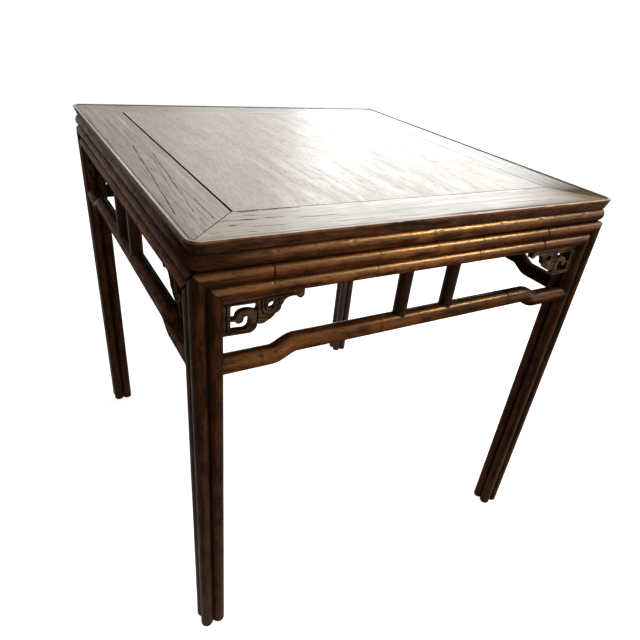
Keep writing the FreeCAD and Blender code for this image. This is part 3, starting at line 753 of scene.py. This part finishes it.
def patch_wear(spot):
    """The let-in repair on the upper reed: fresh wood between two dark seams."""
    if spot.z < MOULDING_FOOT - 2 * REED or not PATCH_LEFT - SEAM < spot.x < PATCH_RIGHT + SEAM:
        return 0.0
    return 0.35 if PATCH_LEFT < spot.x < PATCH_RIGHT else -0.5


def reed_corner(spot, length, side):
    """Darkening near the corner that points to the viewer: it reaches further on the upper reed than on the
    lower one.
    """
    upper = spot.z > MOULDING_FOOT - 2 * REED
    return 0.75 * near_corner(spot.x, length, side, UPPER_BLACK if upper else LOWER_BLACK)


APRON_JOINTS = {"front": (-303, -125, 96, 262), "right": (-240, 30, 290), "back": (-280, -60, 180),
                "left": (-310, -40, 215)}
for index, (side, length, half, degrees) in enumerate(SIDES):
    joints = APRON_JOINTS[side]
    mesh = apron_mesh(length, half, joints)
    # Crown: wear and painted light from the facing, darker near the viewer's corner and in the carved joints,
    # painted shade towards the right end, fresher wood in the repair.
    age(mesh, "apron", index, ALONG_X, lambda spot, normal: rubbed_and_lit(normal)
        - reed_corner(spot, length, side) - 0.35 * right_end_shade(spot.x, side)
        - 0.55 * joint_dip(spot.x, joints) + (patch_wear(spot) if side == "front" else 0),
        lambda spot: JOINT_DEEP * joint_dip(spot.x, joints))
    finish = apron_wood if side == "front" else apron_dull
    settle("reeded_apron_" + side, turn(mesh, degrees), finish, "apron_wood", "apron_" + side)

# %% [markdown]
# ## The lobed legs
# A leg looks like four canes bound together: the section has four round lobes. At its head
# it is cut back in two wedges, one for each apron, so that reed meets reed in a mitre on both
# faces. The shaft is a loft, and a Boolean takes the wedges away, which is what a saw does.

# %% Legs
FOOT_PALE = 120 * MM


def lobe_ring(height, draw):
    """One ring of the section, its outer corner at the origin, drawn in by a small amount."""
    near, far = REED, LEG - REED
    spread = DIP + radians(45)
    points = []
    for quarter, (x, y) in enumerate(((near, near), (far, near), (far, far), (near, far))):
        middle = radians(225 + 90 * quarter)
        for step in range(19):
            angle = middle - spread + 2 * spread * step / 18
            points.append((x + (REED - draw) * cos(angle), y + (REED - draw) * sin(angle), height))
    return points


def prism(outline, depth):
    """Straight block over an outline, as a cutter."""
    count = len(outline)
    points = list(outline) + [tuple(a + b for a, b in zip(point, depth)) for point in outline]
    faces = [tuple(range(count)), tuple(range(count, 2 * count))]
    faces += [(k, (k + 1) % count, count + (k + 1) % count, count + k) for k in range(count)]
    mesh = bpy.data.meshes.new("cutter")
    mesh.from_pydata(points, [], faces)
    return clean(mesh)


def cut_away(mesh, cutters):
    """The mesh without what the cutters hold."""
    body = bpy.data.objects.new("body", mesh)
    bpy.context.scene.collection.objects.link(body)
    helpers = []
    for cutter in cutters:
        helper = bpy.data.objects.new("cutter", cutter)
        bpy.context.scene.collection.objects.link(helper)
        step = body.modifiers.new("cut", "BOOLEAN")
        step.object, step.operation, step.solver = helper, "DIFFERENCE", "EXACT"
        helpers.append(helper)
    view = bpy.context.evaluated_depsgraph_get()
    result = bpy.data.meshes.new_from_object(body.evaluated_get(view))
    for made in helpers + [body]:
        bpy.data.objects.remove(made)
    return clean(result)


def leg_mesh():
    """Shaft with two wedges cut from its head."""
    start, steps = 4 * MM, 210
    rings = [lobe_ring(height * MM, draw * MM) for height, draw in ((0, 1.6), (0.7, 0.5), (2, 0.1))]
    rings += [lobe_ring(start + (FRAME_FOOT - start) * step / steps, 0) for step in range(steps + 1)]
    past = 8 * MM
    far, top = LEG + past, FRAME_FOOT + past
    wedge = ((-past, top), (-past, MOULDING_FOOT + past), (far, MOULDING_FOOT - far), (far, top))
    depth = APRON_THICK + PLAY
    front = prism([(p, -past, z) for p, z in wedge], (0, past + depth, 0))
    side = prism([(-past, q, z) for q, z in wedge], (past + depth, 0, 0))
    return cut_away(loft(rings), [front, side])


def leg_crown(spot, normal):
    """Pale on the crests of the lobes and towards the foot; dark in the grooves, from lacquer left there and
    painted shade.
    """
    crest = max(abs(spot.x - LEG / 2), abs(spot.y - LEG / 2)) - LEG / 2 + GROOVE
    return crest / GROOVE + 0.5 * exp(-spot.z / FOOT_PALE)


LEG_SPOTS = (("front_left", -1, -1, 0), ("front_right", 1, -1, 90), ("back_right", 1, 1, 180),
             ("back_left", -1, 1, 270))
for index, (corner, x, y, degrees) in enumerate(LEG_SPOTS):
    mesh = leg_mesh()
    age(mesh, "leg", index, ALONG_Z, leg_crown)
    turn(mesh, degrees)
    mesh.transform(Matrix.Translation((x * (WIDTH / 2 - FACE), y * (DEPTH / 2 - FACE), 0)))
    finish = leg_glossy if corner == "back_right" else leg_wood
    settle("lobed_leg_" + corner, mesh, finish, "leg_wood", "leg_" + corner)

# %% [markdown]
# ## Humpback stretchers
# A stretcher is a round bar that steps up near each leg, like the back of an ox. It follows a
# path, so Geometry Nodes make it: a straight line is lifted by a smooth step and given a round
# section. The tree has the sizes as inputs. One tree serves the stretchers of all four sides
# and, with no rise, the straight struts as well.

# %% The round bar tree
STRETCHER_RADIUS = 16.25 * MM
STRETCHER_LOW, STRETCHER_RISE = 648.2 * MM, 15.5 * MM
LOW_RUN, BEND = 99.5 * MM, 42 * MM
RAIL = FACE + STRETCHER_RADIUS


def round_bar_tree():
    """A round bar between two points, higher in its middle."""
    tree = bpy.data.node_groups.new("round_bar", "GeometryNodeTree")
    plus, minus, times = arithmetic(tree)
    given = sockets(tree, {"Start": "Vector", "End": "Vector", "Points": "Int", "Rise": "Float",
                           "Bend place": "Float", "Bend length": "Float", "Radius": "Float",
                           "Wood": "Material"}, {"Geometry": "Geometry"})
    line = place(tree, "GeometryNodeCurvePrimitiveLine", {"Start": given["Start"], "End": given["End"]})
    fine = place(tree, "GeometryNodeResampleCurve", {"Curve": line.outputs[0], "Count": given["Points"]})
    spot = place(tree, "ShaderNodeSeparateXYZ", {0: tree.nodes.new("GeometryNodeInputPosition").outputs[0]})
    away = sums(tree, "ABSOLUTE", spot.outputs[0])
    reach = times(given["Bend length"], 0.5)
    lift = ranged(tree, away, minus(given["Bend place"], reach), plus(given["Bend place"], reach),
                  given["Rise"], 0.0)
    offset = place(tree, "ShaderNodeCombineXYZ", {2: lift}).outputs[0]
    bent = place(tree, "GeometryNodeSetPosition", {"Geometry": fine.outputs[0], "Offset": offset})
    ring = place(tree, "GeometryNodeCurvePrimitiveCircle", {"Resolution": 40, "Radius": given["Radius"]})
    bar = place(tree, "GeometryNodeCurveToMesh", {"Curve": bent.outputs[0], "Fill Caps": True,
                                                  "Profile Curve": ring.outputs[0]})
    real = place(tree, "GeometryNodeRealizeInstances", {0: bar.outputs[0]}).outputs[0]
    painted = place(tree, "GeometryNodeSetMaterial", {"Geometry": real, "Material": given["Wood"]})
    tree.links.new(painted.outputs[0], tree.nodes.new("NodeGroupOutput").inputs[0])
    return tree


def grow(tree, values):
    """Mesh that a geometry tree gives for these inputs."""
    seedling = bpy.data.objects.new("seedling", bpy.data.meshes.new("seedling"))
    bpy.context.scene.collection.objects.link(seedling)
    step = seedling.modifiers.new("nodes", "NODES")
    step.node_group = tree
    names = {item.name: item.identifier for item in tree.interface.items_tree if item.in_out == "INPUT"}
    for name, value in values.items():
        step[names[name]] = value
    view = bpy.context.evaluated_depsgraph_get()
    mesh = bpy.data.meshes.new_from_object(seedling.evaluated_get(view))
    seedling.modifiers.remove(step)
    bpy.data.objects.remove(seedling)
    return mesh


ROUND_BAR = round_bar_tree()
print("tree", ROUND_BAR.name, "with", len(ROUND_BAR.nodes), "nodes")

# %% [markdown]
# The shoulders of a stretcher are scribed: cut to the round lobes of the legs. Here the last
# ring of points at each end is moved onto the lobes, which a Boolean would do less cleanly.

# %% Stretchers
def leg_face(inset):
    """How far the inner face of a leg stands from its outer corner, at an inset across it."""
    reach = [LEG - GROOVE]
    for centre in (REED, LEG - REED):
        gap = (REED + PLAY) ** 2 - (inset - centre) ** 2
        reach.append(LEG - REED + sqrt(gap) if gap > 0 else 0)
    return max(reach) + PLAY


def scribe_ends(mesh, length, half):
    """Moves both end rings of a bar onto the lobes of the legs."""
    tip = max(point.co.x for point in mesh.vertices) - 0.01 * MM
    for point in mesh.vertices:
        if abs(point.co.x) > tip:
            reach = length / 2 - FACE - leg_face(point.co.y + half - FACE)
            point.co.x = reach if point.co.x > 0 else -reach


STRETCHER_JOINTS = {"front": (-317, -96, 205), "right": (-290, 110), "back": (-150, 240), "left": (-240, 60)}
for index, (side, length, half, degrees) in enumerate(SIDES):
    clear = length / 2 - FACE - LEG
    finish = stretcher_wood if side == "front" else stretcher_dull
    mesh = grow(ROUND_BAR, {"Start": (-clear, 0, 0), "End": (clear, 0, 0), "Points": 241,
                            "Rise": STRETCHER_RISE, "Bend place": clear - LOW_RUN, "Bend length": BEND,
                            "Radius": STRETCHER_RADIUS, "Wood": finish})
    mesh.transform(Matrix.Translation((0, RAIL - half, STRETCHER_LOW)))
    clean(mesh)
    scribe_ends(mesh, length, half)
    joints = STRETCHER_JOINTS[side]
    # Crown: wear and painted light from the facing, darker in the carved joints, and painted shade towards
    # the right end of the front.
    age(mesh, "stretcher", index, ALONG_X, lambda spot, normal: rubbed_and_lit(normal)
        - 0.7 * joint_dip(spot.x, joints) - 0.3 * right_end_shade(spot.x, side))
    settle("humpback_" + side, turn(mesh, degrees), finish, "stretcher_wood", "stretcher_" + side)

# %% [markdown]
# ## Struts
# Two short round struts stand between stretcher and apron on each side. The same stick is
# needed eight times, so the tree of the stretchers makes it, upright and with no rise. The foot
# of a strut is hollowed like a saddle and its head is rounded to the reed above, so both end
# rings are moved onto those surfaces.

# %% Struts
STRUT_RADIUS = 12.3 * MM
STRUT_SPACING = 104 * MM


def fit_strut(mesh, half, low, high):
    """Saddles the foot over the stretcher and rounds the head to the lower reed."""
    for point in mesh.vertices:
        across = point.co.y + half
        if point.co.z < low + 0.01 * MM:
            rail = STRETCHER_RADIUS ** 2 - (across - RAIL) ** 2
            point.co.z = STRETCHER_LOW + STRETCHER_RISE + sqrt(max(rail, 0)) + PLAY
        elif point.co.z > high - 0.01 * MM:
            off = min(0.0, across - FACE - REED)
            point.co.z = APRON_FOOT + REED - sqrt(REED ** 2 - off ** 2) - PLAY


STRUT_CROWN = 0.35
for index, (side, length, half, degrees) in enumerate(SIDES):
    for way, end in zip((-1, 1), ENDS[side]):
        low = STRETCHER_LOW + STRETCHER_RISE + STRETCHER_RADIUS
        place_x, place_y = way * STRUT_SPACING / 2, RAIL - half
        mesh = grow(ROUND_BAR, {"Start": (place_x, place_y, low), "End": (place_x, place_y, APRON_FOOT),
                                "Points": 33, "Rise": 0.0, "Radius": STRUT_RADIUS, "Wood": shaded_strut_wood})
        clean(mesh)
        fit_strut(mesh, half, low, APRON_FOOT)
        age(mesh, "strut", index * 2 + way, ALONG_Z, lambda spot, normal: STRUT_CROWN)
        settle("strut_stick_" + side + "_" + end, turn(mesh, degrees), shaded_strut_wood, "stretcher_wood",
               "strut_" + side + "_" + end)

# %% [markdown]
# ## Openwork spandrels
# A thin board in each corner is fretted into a scroll with a hooked tail. The outline is drawn
# once, in shares of the length and the drop. One pair in a row of the tables ends a straight
# run, and two pairs are the middle and the end of an arc. Carved lines part the scroll from
# the hook beside it.

# %% Spandrel outlines
SPANDREL_LONG, SPANDREL_DROP, SPANDREL_THICK = 128 * MM, 59.7 * MM, 12 * MM
OUTLINE = (((1.0, 0.141),), ((0.96, 0.246), (0.915, 0.179)), ((0.85, 0.155), (0.79, 0.179)),
           ((0.752, 0.231), (0.73, 0.322)), ((0.705, 0.375),), ((0.69, 0.499), (0.633, 0.57)),
           ((0.595, 0.675), (0.54, 0.733)), ((0.47, 0.795), (0.41, 0.761)), ((0.39, 0.909), (0.32, 1.0)),
           ((0.0, 0.976),), ((-0.025, 0.976),), ((-0.025, 0.004),), ((1.0, 0.004),))
UPPER_OPENING = (((0.083, 0.552),), ((0.083, 0.205),), ((0.10, 0.176),), ((0.38, 0.19),),
                 ((0.418, 0.30), (0.398, 0.432)), ((0.30, 0.362), (0.213, 0.382)),
                 ((0.172, 0.45), (0.158, 0.555)))
LOWER_OPENING = (((0.083, 0.592),), ((0.144, 0.615),), ((0.199, 0.682), (0.24, 0.60)),
                 ((0.25, 0.525), (0.281, 0.508)), ((0.315, 0.58), (0.321, 0.725)),
                 ((0.305, 0.835), (0.217, 0.883)), ((0.083, 0.872),))
EYE_SPOT, EYE_LONG, EYE_WIDE, EYE_TILT = (0.59, 0.33), 14 * MM, 13.4 * MM, radians(35)
CARVED = (((0.035, 0.10), (0.035, 0.90)),
          ((0.105, 0.89), (0.135, 0.925), (0.216, 0.953), (0.318, 0.938), (0.372, 0.851), (0.397, 0.74)),
          ((0.392, 0.16), (0.41, 0.326), (0.412, 0.524), (0.405, 0.74)),
          ((0.45, 0.145), (0.458, 0.41), (0.485, 0.545), (0.56, 0.578), (0.635, 0.525), (0.688, 0.42),
           (0.705, 0.31)),
          ((0.497, 0.14), (0.497, 0.36), (0.522, 0.455), (0.59, 0.488), (0.652, 0.43), (0.676, 0.30),
           (0.664, 0.17)),
          ((0.42, 0.62), (0.50, 0.66), (0.57, 0.632), (0.615, 0.585)),
          ((0.0, 0.13), (0.36, 0.125), (0.445, 0.104), (0.532, 0.085), (0.711, 0.092), (0.86, 0.075)))


def arc_points(start, middle, end, steps):
    """Points of the circle arc through three points, without its start."""
    (ax, ay), (bx, by), (cx, cy) = start, middle, end
    twice = 2 * (ax * (by - cy) + bx * (cy - ay) + cx * (ay - by))
    sa, sb, sc = ax * ax + ay * ay, bx * bx + by * by, cx * cx + cy * cy
    ox = (sa * (by - cy) + sb * (cy - ay) + sc * (ay - by)) / twice
    oy = (sa * (cx - bx) + sb * (ax - cx) + sc * (bx - ax)) / twice
    first, mid, last = (atan2(y - oy, x - ox) for x, y in (start, middle, end))
    sweep, half_way = (last - first) % (2 * pi), (mid - first) % (2 * pi)
    if half_way > sweep:
        sweep -= 2 * pi
    radius = hypot(ax - ox, ay - oy)
    angles = [first + sweep * step / steps for step in range(1, steps + 1)]
    return [(ox + radius * cos(angle), oy + radius * sin(angle)) for angle in angles]


def on_board(shares):
    """Places on the board, in metres from the corner between leg and apron."""
    return [(x * SPANDREL_LONG, -y * SPANDREL_DROP) for x, y in shares]


def traced(table):
    """Closed outline through the straight runs and arcs of a table."""
    points = on_board(table[0])
    for step in table[1:]:
        spots = on_board(step)
        points += arc_points(points[-1], *spots, 9) if len(spots) == 2 else spots
    return points


def eye_points():
    """The small oval opening."""
    (x, y), = on_board([EYE_SPOT])
    points = []
    for step in range(24):
        angle = 2 * pi * step / 24
        u, v = EYE_LONG / 2 * cos(angle), EYE_WIDE / 2 * sin(angle)
        points.append((x + u * cos(EYE_TILT) - v * sin(EYE_TILT),
                       y + u * sin(EYE_TILT) + v * cos(EYE_TILT)))
    return points


def segments(points, closed):
    """Start and end of every straight bit of a line, as rows."""
    after = points[1:] + points[:1] if closed else points[1:]
    return np.array([(*start, *end) for start, end in zip(points, after)])


OUTLINES = [traced(OUTLINE), traced(UPPER_OPENING), traced(LOWER_OPENING), eye_points()]
EDGES = np.vstack([segments(points, True) for points in OUTLINES])
CUTS = np.vstack([segments(on_board(line), False) for line in CARVED])
print("edge pieces:", len(EDGES), "carved pieces:", len(CUTS))

# %% [markdown]
# The carver rounded every band of the fret by eye. To copy that, the board is a fine net of
# cells. The outlines decide which cells are wood, the cells at an edge are drawn onto the
# outline, and the thickness swells from each edge to the middle of the band and sinks again
# along a carved line. A Boolean could cut the outline but not the swelling.

# %% Spandrel boards
CELL = 0.8 * MM
SWELL = 3.0 * MM
EDGE_HALF = 5.0 * MM
FAT = 0.6 * MM
CARVED_DEEP, CARVED_WIDE = 1.7 * MM, 0.95 * MM
FRET_SEED = 80


def nearest(spots, lines):
    """Distance from each spot to the lines, and the place where it is reached."""
    start, way = lines[:, :2], lines[:, 2:] - lines[:, :2]
    share = ((spots[:, None] - start) * way).sum(2) / (way ** 2).sum(1)
    reached = start + np.clip(share, 0, 1)[:, :, None] * way
    far = np.hypot(*np.moveaxis(spots[:, None] - reached, 2, 0))
    best = far.argmin(1)
    rows = np.arange(len(spots))
    return far[rows, best], reached[rows, best]


def inside(spots, lines):
    """True where an odd number of edges lies to the right."""
    x0, y0, x1, y1 = lines.T
    x, y = spots[:, :1], spots[:, 1:]
    spans = (y0 > y) != (y1 > y)
    rise = np.where(y1 == y0, 1, y1 - y0)
    return (spans & (x < x0 + (y - y0) / rise * (x1 - x0))).sum(1) % 2 == 1


def spandrel_mesh():
    """Fretted board with swelling bands, face to the front, its middle at the origin."""
    wide, deep = int(SPANDREL_LONG / CELL) + 8, int(SPANDREL_DROP / CELL) + 3
    nodes = np.array([((i - 5) * CELL, -(j - 1) * CELL) for j in range(deep) for i in range(wide)])
    cells = [j * wide + i for j in range(deep - 1) for i in range(wide - 1)]
    middles = nodes[cells] + (CELL / 2, -CELL / 2)
    fat_band = inside(middles, EDGES) | (nearest(middles, EDGES)[0] < FAT)
    wood_cells = np.array(cells)[fat_band & (middles[:, 1] < 0)]
    corners = np.stack([wood_cells, wood_cells + 1, wood_cells + wide + 1, wood_cells + wide], 1)
    used, count = np.unique(corners, return_counts=True)
    spots, at_edge = nodes[used], count < 4
    far, reached = nearest(spots[at_edge], EDGES)
    spots[at_edge] = reached + (spots[at_edge] - reached) * (FAT / np.maximum(far, 0.1 * FAT))[:, None]
    spots[:, 1] = np.minimum(spots[:, 1], 0)
    butted = (EDGES[:, [0, 2]] < 1e-5).all(1) | (EDGES[:, [1, 3]] > -0.01 * SPANDREL_DROP).all(1)
    depth = nearest(spots, EDGES[~butted])[0] * np.where(inside(spots, EDGES), 1, -1) + FAT
    open_edge = np.clip(depth / SWELL, 0, 1)
    half = EDGE_HALF + (SPANDREL_THICK / 2 - EDGE_HALF) * np.sqrt(1 - (1 - open_edge) ** 2)
    half -= CARVED_DEEP * np.exp(-(nearest(spots, CUTS)[0] / CARVED_WIDE) ** 2) * open_edge
    number = {node: index for index, node in enumerate(used.tolist())}
    total = len(used)
    front = [[number[node] for node in quad] for quad in corners.tolist()]
    sides = [pair for quad in front for pair in zip(quad, quad[1:] + quad[:1])]
    rims = set(sides) - {(b, a) for a, b in sides}
    faces = front + [[index + total for index in reversed(quad)] for quad in front]
    faces += [(b, a, a + total, b + total) for a, b in rims]
    points = [(x, way * thick, y) for way in (-1, 1) for (x, y), thick in zip(spots.tolist(), half.tolist())]
    mesh = bpy.data.meshes.new("fret")
    mesh.from_pydata(points, [], faces)
    return clean(mesh)


def fret_shade_and_light(half):
    """Painted shade and light: dark on the rounded edges and in the carved lines, open on the swell of the
    bands, and lighter on faces that look up.
    """
    swell = SPANDREL_THICK / 2 - EDGE_HALF

    def crown(spot, normal):
        risen = (abs(spot.y + half - RAIL) - EDGE_HALF) / swell
        # Faces that look up are painted lighter, and the sinking edges and carved lines painted darker.
        return 0.05 + 0.35 * max(0, normal.z) + 0.9 * risen
    return crown


FRET = spandrel_mesh()
for index, (side, length, half, degrees) in enumerate(SIDES):
    finish = spandrel_wood if side == "front" else spandrel_dull
    for way, end in zip((1, -1), ENDS[side]):
        mesh = FRET.copy()
        if way < 0:
            mesh.transform(Matrix.Scale(-1, 4, (1, 0, 0)))
            clean(mesh)
        mesh.transform(Matrix.Translation((way * (FACE + LEG - length / 2), RAIL - half, APRON_FOOT)))
        describe(mesh, FRET_SEED + index * 2 + way, ALONG_X, fret_shade_and_light(half))
        settle("fretted_spandrel_" + side + "_" + end, turn(mesh, degrees), finish, "spandrel_wood",
               "spandrel_" + side + "_" + end)

# %% [markdown]
# ## Solids that stay
# The panel boards, the battens under them and the bamboo pegs are right as they were drawn,
# so they keep their solids and only get their wood. They carry no attributes, which is why
# their materials read plain object coordinates.

# %% Woods for the panel, battens and pegs
KEPT = {"panel_board": panel_wood, "batten": batten_wood, "moulding_pegs": peg_bamboo}
for name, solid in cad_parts.items():
    for start, material in KEPT.items():
        if name.startswith(start):
            for holder in solid.material_slots:
                holder.material = material
            print("solid kept:", name)

# %% [markdown]
# ## Floor, light and background
# A pale floor takes the shadow. Two low windows behind on the right give the top its white
# sheen, as in the photograph. A small warm soft box high on the right draws the lines of light
# along the reeds, and a wide warm light from the front stands for the room. The world is white
# for the camera and for reflections, and dimmer as a light. The floor glows in those two cases
# only, as much as it needs to look white, so the glow shows in the lacquer but lights no wood.

# %% Stage and light
def lamp(name, spot, aim, wide, high, power, tint):
    """Soft rectangular light that looks at a point."""
    light = bpy.data.lights.new(name, "AREA")
    light.shape, light.size, light.size_y = "RECTANGLE", wide, high
    light.energy, light.color = power, tint
    holder = bpy.data.objects.new(name, light)
    holder.location = spot
    holder.rotation_euler = (Vector(aim) - Vector(spot)).to_track_quat("-Z", "Y").to_euler()
    bpy.context.scene.collection.objects.link(holder)


def seen_rays(tree):
    """1 where the background itself is looked at, straight or in a reflection."""
    path = tree.nodes.new("ShaderNodeLightPath").outputs
    straight = sums(tree, "MAXIMUM", path["Is Camera Ray"], path["Is Glossy Ray"])
    return sums(tree, "MAXIMUM", straight, path["Is Transmission Ray"])


MIDDLE_OF_TOP = (0.1, 0.1, 0.85)
FLOOR_GREY, FLOOR_GLOW, SKY_LIGHT = (0.80, 0.80, 0.80, 1), 0.75, 0.32
lamp("window", (2.09, 2.17, 1.65), MIDDLE_OF_TOP, 1.8, 1.3, 42, (0.91, 0.97, 1.0))
lamp("far_window", (1.24, 2.77, 1.75), MIDDLE_OF_TOP, 1.4, 1.6, 10, (0.97, 0.99, 1.0))
lamp("soft_box", (2.04, -1.58, 2.58), (0.1, -0.4, 0.8), 0.40, 0.58, 64, (1.0, 0.83, 0.57))
lamp("room", (-1.0, -3.2, 0.9), (0.0, -0.4, 0.5), 3.0, 1.6, 58, (1.0, 0.90, 0.76))

floor_paint = bpy.data.materials.new("floor_paint")
floor_paint.use_nodes = True
paint = floor_paint.node_tree
paint.nodes.remove(paint.nodes["Principled BSDF"])
matt = place(paint, "ShaderNodeBsdfDiffuse", {"Color": FLOOR_GREY})
glow = place(paint, "ShaderNodeEmission", {"Strength": sums(paint, "MULTIPLY", seen_rays(paint), FLOOR_GLOW)})
both = place(paint, "ShaderNodeAddShader", {0: matt.outputs[0], 1: glow.outputs[0]})
paint.links.new(both.outputs[0], paint.nodes["Material Output"].inputs["Surface"])
bpy.ops.mesh.primitive_plane_add(size=60)
floor = bpy.context.object
floor.name = "floor"
floor.data.materials.append(floor_paint)

world = bpy.data.worlds.new("room")
bpy.context.scene.world = world
world.use_nodes = True
sky = world.node_tree
sky.nodes["Background"].inputs[0].default_value = (1, 1, 1, 1)
feed(sky, sky.nodes["Background"].inputs[1], ranged(sky, seen_rays(sky), 0.0, 1.0, SKY_LIGHT, 1.0))
bpy.context.scene.view_settings.view_transform = "Standard"
print("lights:", len(bpy.data.lights))
